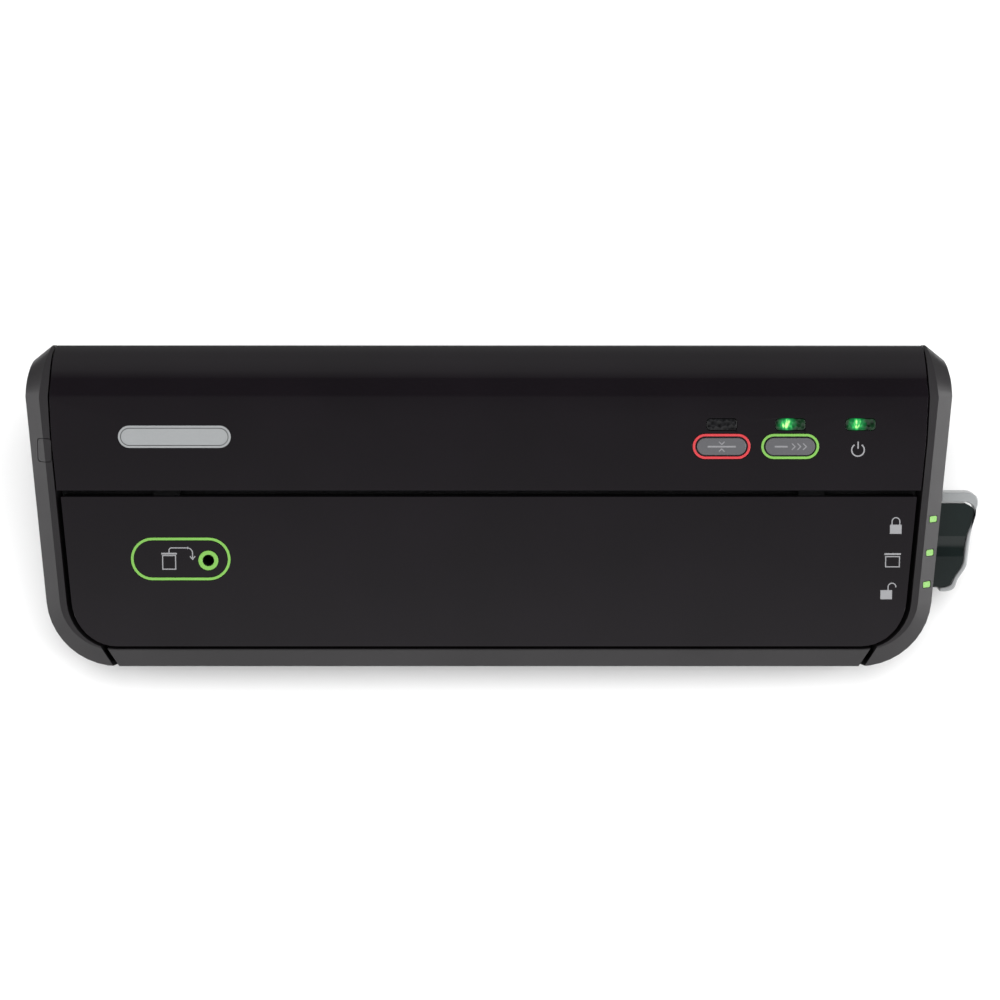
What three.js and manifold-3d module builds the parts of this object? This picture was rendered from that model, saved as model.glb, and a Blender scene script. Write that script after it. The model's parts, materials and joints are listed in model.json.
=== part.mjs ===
// Countertop vacuum sealer: a long sloping case with a glossy hinged lid in front, a glossy fixed
// housing behind it, side cheeks with bevelled rims, and a latch lever on the right-hand side.
// Millimetres, +Z up, front towards -Y. The origin is the bottom centre of the whole object.
import * as THREE from 'three';
import { ConvexGeometry } from 'three/addons/geometries/ConvexGeometry.js';
import { mergeVertices } from 'three/addons/utils/BufferGeometryUtils.js';
import Module from 'manifold-3d';

const wasm = await Module();
wasm.setup();

// ---- Case -----------------------------------------------------------------------------------
const DEPTH = 145; // front rim to back wall
const FAR_BACK = 30; // past the back wall
const SLOPE = THREE.MathUtils.degToRad(24); // the top face falls towards the front
const EDGE_Y = 5.8; // front edge of the flat top face, behind the bevel
const EDGE_Z = 36.5;
const BACK_RADIUS = 22; // the top face turns down into the back wall
const HALF_WIDTH = 213.9; // widest rim, level with the crest
const SIDE_TAPER = 0.077; // half width lost for each millimetre down the slope
const CORNER_RADIUS = 33; // front corners of the rim
const BEVEL_SIDE = 7;
const BEVEL_FRONT = 8.6;
const BEVEL_DROP = 5;
const BASE_Z = 4; // underside of the base, above the feet
const UNDERCUT = 8; // the lower walls lean in by this much at the bottom
const BACK_UNDERCUT = 4;
const SEAM_Z = 14; // base shell meets the upper shells
const WALL = 2.2;
const GAP = 0.3; // between pieces that touch
const RAIL_SIDE = 10.1; // rim to the inner edge of the cheeks
// How far that edge turns further in, by the distance up the slope past the crest.
const RAIL_TURN = [[-20, 0], [0, 0.9], [8, 1.6], [FAR_BACK, 2]];
const RAIL_FRONT = 9.1;
const RAIL_WALL_N = -22; // the cheeks' inner wall ends this far below the top face
const APRON_HALF = 174.5; // front apron, half its width at the rim
const APRON_SLANT = 0.486; // its ends lean outwards going back
const APRON_GAP = 1.4; // half of the slanted gap to the cheeks
const HOUSING_U = 75.3; // front lip of the rear housing
const HOUSING_SEAM = 0.8;
// How the rims close in round the back: insets from the side, and depths below the top.
const BACK_CORNER = { top: 10.5, rim: 1.7, rimSink: 7, wallSink: 12.5 };
const FAR = 220; // past the object, for cutters

// ---- Lid (U runs up the slope, N is the slope's normal) -------------------------------------
const LID_SIDE = 12.5;
const LID_FRONT = 10.5;
const LID_REAR_U = 72.3;
const LID_SKIN = 2.4;
const LID_WALL_REAR_U = 71.6;
const LID_WALL_N = -14;
const HINGE_U = 79.5;
const HINGE_N = -5.5;
const HINGE_X = 150;
const HUB_RADIUS = 2.8;
const PIN_RADIUS = 1.5;
const RUNNING = 0.1; // radial clearance of turning fits
const ARM_HALF = 6;
const LINER_TOP_N = -11.5;
const LINER_HALF = 178;
const PORT = { x: -130.1, u: 42.5, bore: 2.7, rim: 4.65, tube: 4.1 };
const PORT_PLATE = { x: -142.9, u: 43.2, width: 46.2, height: 20 };
const PORT_SINK = -0.6; // the port's plate and rings are let in to this depth
const RING_PROUD = 0.15;

// ---- Deck under the lid ---------------------------------------------------------------------
const DECK_N = -17;
const DECK_SIDE = 10.4; // rim to the deck's edges, a running gap inside the cheeks
const DECK_FRONT = RAIL_FRONT + 0.5;
const DECK_THICK = 2.2;
const DECK_REAR_U = 86;
const DECK_WALL_TOP = -3; // walls that stand up from the deck stop under the housing's skin
const BULKHEAD_HALF = 190;
const HINGE_LUG = { thick: 3.4, front: 76.3, rear: 83 };
const HOOK_SLOT = { front: 9.3, rear: 38.5, side: 1.5 };
const CHANNEL = { half: 165, front: 24, rear: 52, floor: -25 };
const TROUGH = { half: 161, front: 6.5, rear: 15.5, floor: -21 };
const GASKET_WIDTH = 4;

// ---- Latch ----------------------------------------------------------------------------------
const SHAFT_U = 31.8;
const SHAFT_N = -31.4;
const SHAFT_RADIUS = 3;
const HOOK_X = 183;
const HOOK_THICK = 4;
const BEARING_X = [178, 181]; // lugs under the deck that carry the shaft
const CATCH_U = 33.8;
const CATCH_N = -12.4;
const LEVER_REACH = 231; // outer tip of the lever, from the middle of the case
const LEVER_HALF_THICK = 4;
const LEVER_TRIM = { width: 2, proud: 0.5, start: 5.5 }; // silver edging round the lever's outer sides
const LEVER_COLLAR = { radius: 7.5, from: 205.9, to: 209, bore: 216 };
const LEVER_INNER_X = 208; // the lever starts here, just clear of the cheek
const THUMB = { u: 44.5, radius: 12, depth: 1 }; // shallow groove across the lever's face

// ---- Control panel --------------------------------------------------------------------------
const BUTTON_U = 95.8;
const LIGHT_U = 106;
const SEAL_X = 107.3;
const VAC_X = 138.9;
const POWER_X = 171.2;
const BUTTON = { width: 22.8, height: 7.9, proud: 0.6, flange: 3 };
const RING = { width: 26.7, height: 11.7, stroke: 1.2 };
const LIGHT = { width: 13.6, height: 5.2 };
const BOARD_N = -12;
const BADGE = { x: -144.9, u: 100.3, width: 52, height: 10.4 };

// ---- Small parts of the case ----------------------------------------------------------------
const MARK = { width: 3.6, height: 2.8, depth: 0.6 };
const MARKS = { operate: 61.5, store: 45.7, open: 30.7 };
const RAIL_CAP = { u: 94, inset: 7, width: 6.4, height: 10.6, depth: 0.9 };
const INLAY_DEEP = 7; // cutters for inlays stop this far below the top face
const FEET = [[-182, 24], [182, 24], [-188, 126], [188, 126]];
const FOOT = { radius: 7, peg: 3 };
const POSTS = [[-90, 22, -23], [90, 22, -23], [-120, 80, -19.2], [120, 80, -19.2]];
const SCREW = { head: 3, shank: 1.5, boss: 4.5, length: 11 };
const INLET = { x: -150, z: 24, radius: 5, flange: 7, bore: 3.5 };
const HOSE = { x: -100, u: 46, radius: 3, bore: 1.6 };
const PUMP = {
  y: 116, z: 32, motorEnd: -76, motorLength: 42, motorRadius: 15, shaft: 2, cam: 6.5, throw: 3,
};
const CORE = { x: [66, 122], y: [98, 134], z: [8, 54] };

// ---- Materials ------------------------------------------------------------------------------
const finish = (color, roughness, metalness = 0) =>
  new THREE.MeshStandardMaterial({ color, roughness, metalness });
const gloss = () => finish(0x141416, 0.12);
const satin = () => finish(0x3b3a3d, 0.45);
const innerPlastic = () => finish(0x2a2b2d, 0.5);
const rubber = () => finish(0x1c1c1d, 0.85);
const lime = () => finish(0x82c355, 0.35);
const red = () => finish(0xde3c41, 0.35);
const greyPlastic = () => finish(0x7b7b7e, 0.4);
const steel = () => finish(0xb8babd, 0.3, 1);
const silver = () => finish(0xaeb2b4, 0.3, 0.8);
const board = () => finish(0x24563a, 0.6);
const copper = () => finish(0xb4673a, 0.4, 0.9);
const silicone = () => finish(0x55585c, 0.7);
const tape = () => finish(0x8a6b4a, 0.6);
const blackRelay = () => finish(0x18181a, 0.5);

// ---- Solids ---------------------------------------------------------------------------------
function toSolid(geometry) {
  const bare = geometry.clone();
  bare.deleteAttribute('normal');
  bare.deleteAttribute('uv');
  const merged = mergeVertices(bare, 1e-4);
  return new wasm.Manifold(new wasm.Mesh({
    numProp: 3,
    vertProperties: new Float32Array(merged.attributes.position.array),
    triVerts: new Uint32Array(merged.index.array),
  }));
}

function toMesh(name, solid, material) {
  const { vertProperties, triVerts } = solid.getMesh();
  const geometry = new THREE.BufferGeometry();
  geometry.setAttribute('position', new THREE.BufferAttribute(vertProperties, 3));
  geometry.setIndex(new THREE.BufferAttribute(triVerts, 1));
  const mesh = new THREE.Mesh(geometry, material);
  mesh.name = name;
  return mesh;
}

const { lerp } = THREE.MathUtils;

const hull = (points) => toSolid(new ConvexGeometry(points));

// A block between two corners, in whichever frame the piece is made.
function block([x0, x1], [y0, y1], [z0, z1]) {
  const geometry = new THREE.BoxGeometry(x1 - x0, y1 - y0, z1 - z0);
  return toSolid(geometry.translate((x0 + x1) / 2, (y0 + y1) / 2, (z0 + z1) / 2));
}

// The same block on the right and on the left.
const blockPair = ([x0, x1], y, z) => block([x0, x1], y, z).add(block([-x1, -x0], y, z));

function outlineShape(points) {
  return new THREE.Shape(points.map(([x, y]) => new THREE.Vector2(x, y)));
}

function prism(shape, low, high) {
  const settings = { depth: high - low, bevelEnabled: false, curveSegments: 4 };
  return toSolid(new THREE.ExtrudeGeometry(shape, settings).translate(0, 0, low));
}

// A stadium, or a rectangle with rounded corners, about a point.
function pill(x, y, width, height, radius = height / 2) {
  const [w, h, r] = [width / 2 - radius, height / 2 - radius, radius];
  const shape = new THREE.Shape();
  shape.absarc(x + w, y - h, r, -Math.PI / 2, 0);
  shape.absarc(x + w, y + h, r, 0, Math.PI / 2);
  shape.absarc(x - w, y + h, r, Math.PI / 2, Math.PI);
  shape.absarc(x - w, y - h, r, Math.PI, 1.5 * Math.PI);
  return shape;
}

// A stadium of a named size, grown all round.
const pillAt = ({ x, u, width, height }, grow) => pill(x, u, width + grow, height + grow);

// A cylinder along X, Y or Z from one end to the other.
function rod(axis, radius, [from, to], [a, b], sides = 16) {
  const geometry = new THREE.CylinderGeometry(radius, radius, to - from, sides);
  geometry.translate(0, (from + to) / 2, 0);
  if (axis === 'x') geometry.rotateZ(-Math.PI / 2).translate(0, a, b);
  if (axis === 'y') geometry.translate(a, 0, b);
  if (axis === 'z') geometry.rotateX(Math.PI / 2).translate(a, b, 0);
  return toSolid(geometry);
}

// ---- The slope frame ------------------------------------------------------------------------
const slopeMatrix = new THREE.Matrix4()
  .makeRotationX(SLOPE)
  .setPosition(0, EDGE_Y, EDGE_Z);

const onSlope = (x, u, n) => new THREE.Vector3(x, u, n).applyMatrix4(slopeMatrix);

const crestU = (DEPTH - BACK_RADIUS * (1 + Math.sin(SLOPE)) - EDGE_Y) / Math.cos(SLOPE);
const backCentreZ = EDGE_Z + (DEPTH - BACK_RADIUS - EDGE_Y) * Math.tan(SLOPE)
  - BACK_RADIUS / Math.cos(SLOPE);
const halfWidthAt = (u) => HALF_WIDTH - SIDE_TAPER * Math.max(0, crestU - u);
const cornerU = CORNER_RADIUS - BEVEL_FRONT;
const cornerX = halfWidthAt(cornerU) - CORNER_RADIUS * Math.hypot(1, SIDE_TAPER);

// One front corner of the rim's outline, inset from it, from the front edge round to the side.
function cornerArc(insetSide, insetFront, steps = 10) {
  const sweep = Math.PI / 2 - Math.atan(SIDE_TAPER);
  return Array.from({ length: steps + 1 }, (_, i) => {
    const angle = -Math.PI / 2 + (sweep * i) / steps;
    return [
      cornerX + (CORNER_RADIUS - insetSide) * Math.cos(angle),
      cornerU + (CORNER_RADIUS - insetFront) * Math.sin(angle),
    ];
  });
}

// The inner edge of the right cheek, inset from the rim, from the keys to past the back wall.
const railEdge = (inset) => RAIL_TURN.map(([past, turn]) => {
  const u = crestU + past;
  return [halfWidthAt(u) - inset - turn, u];
});

// The rim's outline, inset, and cut off straight at the back.
function outline(insetSide, insetFront, rearU) {
  const right = cornerArc(insetSide, insetFront);
  if (rearU > crestU) right.push(...railEdge(insetSide));
  else right.push([halfWidthAt(rearU) - insetSide, rearU]);
  const left = right.map(([x, u]) => [-x, u]).reverse();
  return outlineShape([...right, ...left]);
}

// A cutter that stands up through the case along the slope's normal, from a given depth.
function standing(shape, low = -FAR) {
  const settings = { depth: FAR - low, bevelEnabled: false, curveSegments: 2 };
  const geometry = new THREE.ExtrudeGeometry(shape, settings).translate(0, 0, low);
  return toSolid(geometry.applyMatrix4(slopeMatrix));
}

// ---- Case shells ----------------------------------------------------------------------------
// The outer form of the case, made smaller all round by shrink.
function envelope(shrink) {
  const points = [];
  const both = (x, y, z) => {
    points.push(new THREE.Vector3(x, y, z), new THREE.Vector3(-x, y, z));
  };
  const lip = 0.35 * shrink;
  for (const [x, u] of cornerArc(BEVEL_SIDE + lip, BEVEL_FRONT + lip)) {
    const top = onSlope(x, u, -shrink);
    both(top.x, top.y, top.z);
  }
  for (const [x, u] of cornerArc(shrink, shrink)) {
    const rim = onSlope(x, u, -BEVEL_DROP - 0.46 * shrink);
    both(rim.x, rim.y, rim.z);
  }
  for (const [x, u] of cornerArc(UNDERCUT + shrink, UNDERCUT + shrink)) {
    const foot = onSlope(x, u, -BEVEL_DROP);
    both(foot.x, foot.y, BASE_Z + shrink);
  }
  both(HALF_WIDTH - UNDERCUT - shrink, DEPTH - BACK_UNDERCUT - shrink, BASE_Z + shrink);
  const steps = 14;
  for (let i = 0; i <= steps; i += 1) {
    const angle = -SLOPE + (i / steps) * (Math.PI / 2 + SLOPE);
    const turn = Math.min(1, (1.6 * i) / steps);
    const sections = [
      [lerp(BEVEL_SIDE, BACK_CORNER.top, turn) + lip, shrink],
      [lerp(0, BACK_CORNER.rim, turn) + shrink, lerp(BEVEL_DROP, BACK_CORNER.rimSink, turn) + lip],
      [shrink, lerp(BEVEL_DROP, BACK_CORNER.wallSink, turn) + lip],
    ];
    for (const [inset, sink] of sections) {
      const radius = BACK_RADIUS - sink;
      both(
        HALF_WIDTH - inset,
        DEPTH - BACK_RADIUS + radius * Math.sin(angle),
        backCentreZ + radius * Math.cos(angle),
      );
    }
  }
  return hull(points);
}

const outer = envelope(0);
const inner = envelope(WALL);
const upperHalf = block([-FAR * 2, FAR * 2], [-FAR, FAR], [SEAM_Z + GAP, FAR]);
const rightHalf = block([0, FAR * 2], [-FAR, FAR], [-FAR, FAR]);
const shaftAt = onSlope(0, SHAFT_U, SHAFT_N);

// The ring of rim that the cheeks and the apron are cut from: a skin with an inner wall.
function railStock() {
  const wallLine = outline(RAIL_SIDE - WALL, RAIL_FRONT - WALL, FAR);
  const cavity = inner.subtract(standing(wallLine, RAIL_WALL_N));
  return outer.subtract(cavity)
    .subtract(standing(outline(RAIL_SIDE, RAIL_FRONT, FAR)))
    .intersect(upperHalf);
}

// The zone of the apron; a positive margin makes it wider.
function apronZone(margin) {
  const half = (u) => APRON_HALF + (u + BEVEL_FRONT) * APRON_SLANT + margin;
  const rear = 4;
  return standing(outlineShape([
    [-half(-40), -40],
    [half(-40), -40],
    [half(rear), rear],
    [-half(rear), rear],
  ]));
}

// A thin inlay that follows the outer form near the rim, and the recess that it sits in.
const inlay = (shape, depth) =>
  outer.subtract(envelope(depth)).intersect(standing(shape, -INLAY_DEEP));

const recess = (shape, depth) =>
  envelope(-1).subtract(envelope(depth + GAP)).intersect(standing(shape, -INLAY_DEEP));

function markShape(u, grow) {
  const middle = halfWidthAt(u) - BEVEL_SIDE / 2;
  return pill(middle, u, MARK.width + grow, MARK.height + grow, 0.6);
}

function capShape(grow) {
  const middle = -(halfWidthAt(RAIL_CAP.u) - RAIL_CAP.inset);
  return pill(middle, RAIL_CAP.u, RAIL_CAP.width + grow, RAIL_CAP.height + grow, 1.5);
}

function rightCheek(stock) {
  let cheek = stock.subtract(apronZone(APRON_GAP)).intersect(rightHalf);
  for (const u of Object.values(MARKS)) {
    cheek = cheek.subtract(recess(markShape(u, 2 * GAP), MARK.depth));
  }
  return cheek.subtract(rod('x', SHAFT_RADIUS + GAP, [180, FAR], [shaftAt.y, shaftAt.z]));
}

function leftCheek(stock) {
  return stock.subtract(apronZone(APRON_GAP))
    .subtract(rightHalf)
    .subtract(recess(capShape(2 * GAP), RAIL_CAP.depth));
}

// Height of the deck's underside, n below the slope, over a point of the base.
function undersideZ(y, n) {
  const u = (y - EDGE_Y + n * Math.sin(SLOPE)) / Math.cos(SLOPE);
  return EDGE_Z + u * Math.sin(SLOPE) + n * Math.cos(SLOPE);
}

function baseShell() {
  const below = block([-FAR * 2, FAR * 2], [-FAR, FAR], [-FAR, SEAM_Z]);
  let shell = outer.subtract(inner).intersect(below);
  for (const [x, y, n] of POSTS) {
    const top = undersideZ(y - SCREW.boss, n) - GAP;
    shell = shell.add(rod('z', SCREW.boss, [BASE_Z + 0.5, top], [x, y]))
      .subtract(rod('z', SCREW.shank + GAP, [0, BASE_Z + SCREW.length + 1], [x, y]))
      .subtract(rod('z', SCREW.head + GAP, [0, BASE_Z + 1.6], [x, y]));
  }
  for (const [x, y] of FEET) {
    shell = shell.subtract(rod('z', FOOT.peg + GAP, [0, FAR], [x, y]));
  }
  return shell;
}

function rearHousing() {
  const seam = RAIL_SIDE + HOUSING_SEAM;
  const right = [[halfWidthAt(HOUSING_U) - seam, HOUSING_U], ...railEdge(seam)];
  const left = right.map(([x, u]) => [-x, u]).reverse();
  const zone = standing(outlineShape([...right, ...left]));
  let housing = outer.subtract(inner).intersect(upperHalf).intersect(zone);
  for (const x of [SEAL_X, VAC_X]) {
    const seat = pill(x, BUTTON_U, RING.width + 2 * GAP, RING.height + 2 * GAP);
    const hole = pill(x, BUTTON_U, RING.width - 2 * RING.stroke, RING.height - 2 * RING.stroke);
    housing = housing.subtract(onTop(prism(seat, -1.2, 9))).subtract(onTop(prism(hole, -9, 9)));
  }
  for (const x of [SEAL_X, VAC_X, POWER_X]) {
    const window = pill(x, LIGHT_U, LIGHT.width + 2 * GAP, LIGHT.height + 2 * GAP, 1.8);
    housing = housing.subtract(onTop(prism(window, -9, 9)));
  }
  housing = housing.subtract(onTop(prism(pillAt(BADGE, 2 * GAP), -0.7, 9)));
  return housing.subtract(rod('y', INLET.radius + GAP, [DEPTH - 20, FAR], [INLET.x, INLET.z]));
}

// Carries a solid made in the slope frame over to the case's frame.
function onTop(solid) {
  const { vertProperties, triVerts } = solid.getMesh();
  const geometry = new THREE.BufferGeometry();
  geometry.setAttribute('position', new THREE.BufferAttribute(vertProperties, 3));
  geometry.setIndex(new THREE.BufferAttribute(triVerts, 1));
  return toSolid(geometry.applyMatrix4(slopeMatrix));
}

function foot(x, y) {
  return rod('z', FOOT.radius, [0, BASE_Z - GAP], [x, y], 24)
    .add(rod('z', FOOT.peg, [BASE_Z - 1, BASE_Z + WALL], [x, y]));
}

function baseScrew(x, y) {
  return rod('z', SCREW.head, [BASE_Z + 0.2, BASE_Z + 1.3], [x, y])
    .add(rod('z', SCREW.shank, [BASE_Z + 1, BASE_Z + SCREW.length], [x, y]));
}

function cordInlet() {
  return rod('y', INLET.radius, [DEPTH - 10, DEPTH - 1], [INLET.x, INLET.z], 24)
    .add(rod('y', INLET.flange, [DEPTH - 1.8, DEPTH - 0.1], [INLET.x, INLET.z], 24))
    .subtract(rod('y', INLET.bore, [DEPTH - 20, DEPTH + 20], [INLET.x, INLET.z], 24));
}

// ---- Lid pieces, in the slope frame ---------------------------------------------------------
function ringPoints(u, n, radius, x) {
  const sides = 16;
  return Array.from({ length: sides }, (_, i) => {
    const angle = (2 * Math.PI * i) / sides;
    return new THREE.Vector3(x, u + radius * Math.cos(angle), n + radius * Math.sin(angle));
  });
}

// A goose-necked arm from the lid's back wall, under the housing's lip, to the hinge pin.
function hingeArm(x) {
  const [left, right] = [x - ARM_HALF, x + ARM_HALF];
  const [kneeU, kneeN, kneeRadius] = [HINGE_U - 4, HINGE_N - 6, 1.9];
  const rootU = LID_WALL_REAR_U - 0.1;
  const root = [];
  for (const side of [left, right]) {
    for (const [u, n] of [[rootU - 1.5, -9], [rootU - 1.5, LID_WALL_N], [rootU, LID_WALL_N], [rootU, -9]]) {
      root.push(new THREE.Vector3(side, u, n));
    }
  }
  const knee = [left, right].flatMap((side) => ringPoints(kneeU, kneeN, kneeRadius, side));
  const hub = [left, right].flatMap((side) => ringPoints(HINGE_U, HINGE_N, HUB_RADIUS, side));
  return hull([...root, ...knee]).add(hull([...knee, ...hub]))
    .subtract(rod('x', PIN_RADIUS + RUNNING, [left - 1, right + 1], [HINGE_U, HINGE_N]));
}

function lidCover() {
  const wallZone = prism(outline(LID_SIDE, LID_FRONT, LID_WALL_REAR_U), LID_WALL_N, -1);
  const hollow = prism(
    outline(LID_SIDE + WALL, LID_FRONT + WALL, LID_WALL_REAR_U - WALL), LID_WALL_N - 1, -LID_SKIN,
  );
  return prism(outline(LID_SIDE, LID_FRONT, LID_REAR_U), -LID_SKIN, 0)
    .add(wallZone)
    .subtract(hollow)
    .add(hingeArm(HINGE_X))
    .add(hingeArm(-HINGE_X))
    .subtract(prism(pillAt(PORT_PLATE, 2 * GAP), -0.9, 5))
    .subtract(rod('z', PORT.tube + GAP, [-9, 9], [PORT.x, PORT.u], 24));
}

function lidLiner() {
  const inset = WALL + 0.5;
  const floor = outline(LID_SIDE + inset, LID_FRONT + inset, LID_WALL_REAR_U - inset);
  let liner = prism(floor, LID_WALL_N, LINER_TOP_N)
    .intersect(block([-LINER_HALF, LINER_HALF], [0, 80], [-20, 0]));
  for (const x of [-160, 0, 160]) {
    for (const u of [16, 62]) {
      liner = liner.add(rod('z', 3, [LINER_TOP_N - 1, -LID_SKIN - GAP], [x, u], 12));
    }
  }
  return liner.subtract(rod('z', PORT.bore, [-20, 0], [PORT.x, PORT.u], 24));
}

// A flat rubber ring round the vacuum channel.
function gasket(low, high) {
  const middle = (CHANNEL.front + CHANNEL.rear) / 2;
  const depth = CHANNEL.rear - CHANNEL.front + 2 * GASKET_WIDTH - 1;
  const width = 2 * (CHANNEL.half + GASKET_WIDTH + 2);
  const hole = pill(0, middle, width - 2 * GASKET_WIDTH, depth - 2 * GASKET_WIDTH, 4);
  return prism(pill(0, middle, width, depth, 8), low, high).subtract(prism(hole, low - 1, high + 1));
}

function catchBracket(side) {
  const plate = side > 0 ? [189, 191.5] : [-191.5, -189];
  const pin = side > 0 ? [182, 189.5] : [-189.5, -182];
  return block(plate, [CATCH_U - 4.3, CATCH_U + 4.7], [CATCH_N - 2.6, -LID_SKIN - GAP])
    .add(rod('x', 2, pin, [CATCH_U, CATCH_N]));
}

function ringPlate(x, u, width, height, stroke, low, high) {
  return prism(pill(x, u, width, height), low, high)
    .subtract(prism(pill(x, u, width - 2 * stroke, height - 2 * stroke), low - 1, high + 1));
}

function portPlate() {
  return prism(pillAt(PORT_PLATE, -2 * (RING.stroke + GAP)), PORT_SINK, 0)
    .subtract(rod('z', PORT.rim + GAP, [-5, 5], [PORT.x, PORT.u], 24));
}

const portGrommet = () => rod('z', PORT.rim, [PORT_SINK, 0.5], [PORT.x, PORT.u], 32)
  .subtract(rod('z', PORT.bore, [-5, 5], [PORT.x, PORT.u], 24));

const portTube = () => rod('z', PORT.tube, [LINER_TOP_N + GAP, -0.9], [PORT.x, PORT.u], 24)
  .subtract(rod('z', PORT.bore, [-20, 5], [PORT.x, PORT.u], 24));

// ---- Deck pieces, in the slope frame --------------------------------------------------------
function deck() {
  const bottom = DECK_N - DECK_THICK;
  const { half, front, rear, floor } = CHANNEL;
  let plate = prism(outline(DECK_SIDE, DECK_FRONT, DECK_REAR_U), bottom, DECK_N);
  plate = plate
    .add(block([-half - 2, half + 2], [front - 2, rear + 2], [floor - 2, DECK_N - 1]))
    .add(block(
      [-TROUGH.half - 2, TROUGH.half + 2],
      [TROUGH.front - 2, TROUGH.rear + 2],
      [TROUGH.floor - 2, DECK_N - 1],
    ))
    .add(block([-BULKHEAD_HALF, BULKHEAD_HALF], [DECK_REAR_U - 2, DECK_REAR_U], [bottom, DECK_WALL_TOP]));
  for (const x of [HINGE_X - ARM_HALF - HINGE_LUG.thick - 0.6, HINGE_X + ARM_HALF + 0.6]) {
    const { thick, front: lugFront, rear: lugRear } = HINGE_LUG;
    plate = plate.add(blockPair([x, x + thick], [lugFront, lugRear], [DECK_N - 1, DECK_WALL_TOP]));
  }
  plate = plate.add(blockPair(BEARING_X, [SHAFT_U - 5, SHAFT_U + 5], [SHAFT_N - 5, bottom + 1]))
    .subtract(rod('x', SHAFT_RADIUS + RUNNING, [-FAR, FAR], [SHAFT_U, SHAFT_N]));
  return plate
    .subtract(block([-half, half], [front, rear], [floor, 0]))
    .subtract(block([-TROUGH.half, TROUGH.half], [TROUGH.front, TROUGH.rear], [TROUGH.floor, 0]))
    .subtract(blockPair(
      [HOOK_X - HOOK_SLOT.side, HOOK_X + HOOK_THICK + HOOK_SLOT.side],
      [HOOK_SLOT.front, HOOK_SLOT.rear],
      [-30, 0],
    ))
    .subtract(rod('x', PIN_RADIUS + RUNNING, [-FAR, FAR], [HINGE_U, HINGE_N]))
    .subtract(rod('z', HOSE.bore + 0.4, [-40, 0], [HOSE.x, HOSE.u], 12));
}

function dripTray() {
  const { half, front, rear, floor } = CHANNEL;
  const middle = (front + rear) / 2;
  const [width, depth, wall] = [2 * half - 8, rear - front - 1, 1.2];
  return prism(pill(0, middle, width, depth, 3), floor + GAP, DECK_N - 1)
    .subtract(prism(pill(0, middle, width - 2 * wall, depth - 2 * wall, 2), floor + GAP + wall, 0))
    .subtract(rod('z', HOSE.bore + 0.4, [-40, 0], [HOSE.x, HOSE.u], 12));
}

const sealMiddle = (TROUGH.front + TROUGH.rear) / 2;
const sealStrip = (half, width, low, high) =>
  block([-half, half], [sealMiddle - width / 2, sealMiddle + width / 2], [low, high]);

// ---- Latch pieces, in the slope frame -------------------------------------------------------
function latchHook(x0) {
  const arm = outlineShape([
    [SHAFT_U - 6, SHAFT_N],
    [SHAFT_U + 5, SHAFT_N],
    [CATCH_U - 2.5, SHAFT_N + 9],
    [CATCH_U - 2.5, CATCH_N + 2.5],
    [CATCH_U + 2.6, CATCH_N + 2.5],
    [CATCH_U + 1.2, CATCH_N + 5.2],
    [CATCH_U - 3.4, CATCH_N + 5.4],
    [CATCH_U - 6.2, CATCH_N + 2],
  ]);
  const settings = { depth: HOOK_THICK, bevelEnabled: false };
  const geometry = new THREE.ExtrudeGeometry(arm, settings);
  const swap = new THREE.Matrix4().set(0, 0, 1, x0, 1, 0, 0, 0, 0, 1, 0, 0, 0, 0, 0, 1);
  return toSolid(geometry.applyMatrix4(swap))
    .add(rod('x', 6.5, [x0, x0 + HOOK_THICK], [SHAFT_U, SHAFT_N], 20))
    .subtract(rod('x', SHAFT_RADIUS + RUNNING, [x0 - 1, x0 + HOOK_THICK + 1], [SHAFT_U, SHAFT_N]));
}

// The lever's outline seen along the slope's normal; trim takes that much off its outer edges.
function leverOutline(trim) {
  const out = LEVER_REACH - trim;
  const rear = SHAFT_U + 38.5 - 2.6 * trim;
  const front = SHAFT_U - 9 + trim;
  const waist = SHAFT_U + 0.5 * trim;
  const edge = new THREE.SplineCurve([
    new THREE.Vector2(out - 14.5, front),
    new THREE.Vector2(out - 10.6, front + 1.3),
    new THREE.Vector2(out - 8.6, waist - 2.8),
    new THREE.Vector2(out - 5, waist + 3),
    new THREE.Vector2(out - 4.2, waist + 9),
    new THREE.Vector2(out - 3.2, SHAFT_U + 18),
    new THREE.Vector2(out - 1.2, rear - 10),
    new THREE.Vector2(out, rear - 5.2),
    new THREE.Vector2(out - 0.9, rear - 1.9),
    new THREE.Vector2(out - 4, rear - 0.1),
  ]).getPoints(36).map(({ x, y }) => [Math.min(x, out), y]);
  const inside = [
    [LEVER_INNER_X + 3, rear],
    [LEVER_INNER_X + 3, 58],
    [LEVER_INNER_X, 46],
    [LEVER_INNER_X, front],
  ];
  return outlineShape([...edge, ...inside]);
}

// The paddle, with a round collar that faces the case.
function leverBlade() {
  const face = SHAFT_N + LEVER_HALF_THICK;
  const { radius, from, to, bore } = LEVER_COLLAR;
  const groove = rod('x', THUMB.radius, [0, 2 * FAR], [THUMB.u, face + THUMB.radius - THUMB.depth], 96);
  return prism(leverOutline(LEVER_TRIM.width), SHAFT_N - LEVER_HALF_THICK, face)
    .subtract(groove)
    .add(rod('x', radius, [from, to], [SHAFT_U, SHAFT_N], 24))
    .subtract(rod('x', SHAFT_RADIUS + RUNNING, [0, bore], [SHAFT_U, SHAFT_N]));
}

function leverTrim() {
  const { width, proud, start } = LEVER_TRIM;
  const half = LEVER_HALF_THICK + proud;
  return prism(leverOutline(0), SHAFT_N - half, SHAFT_N + half)
    .subtract(prism(leverOutline(width - GAP), SHAFT_N - FAR, SHAFT_N + FAR))
    .subtract(block([0, LEVER_INNER_X + start], [0, FAR], [-FAR, 0]));
}

// ---- Buttons and lights, in the slope frame -------------------------------------------------
function button(x) {
  const { width, height, proud, flange } = BUTTON;
  return prism(pill(x, BUTTON_U, width, height), -4.5, proud)
    .add(prism(pill(x, BUTTON_U, width + flange, height + flange), -4.5, -WALL - 0.6));
}

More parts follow.
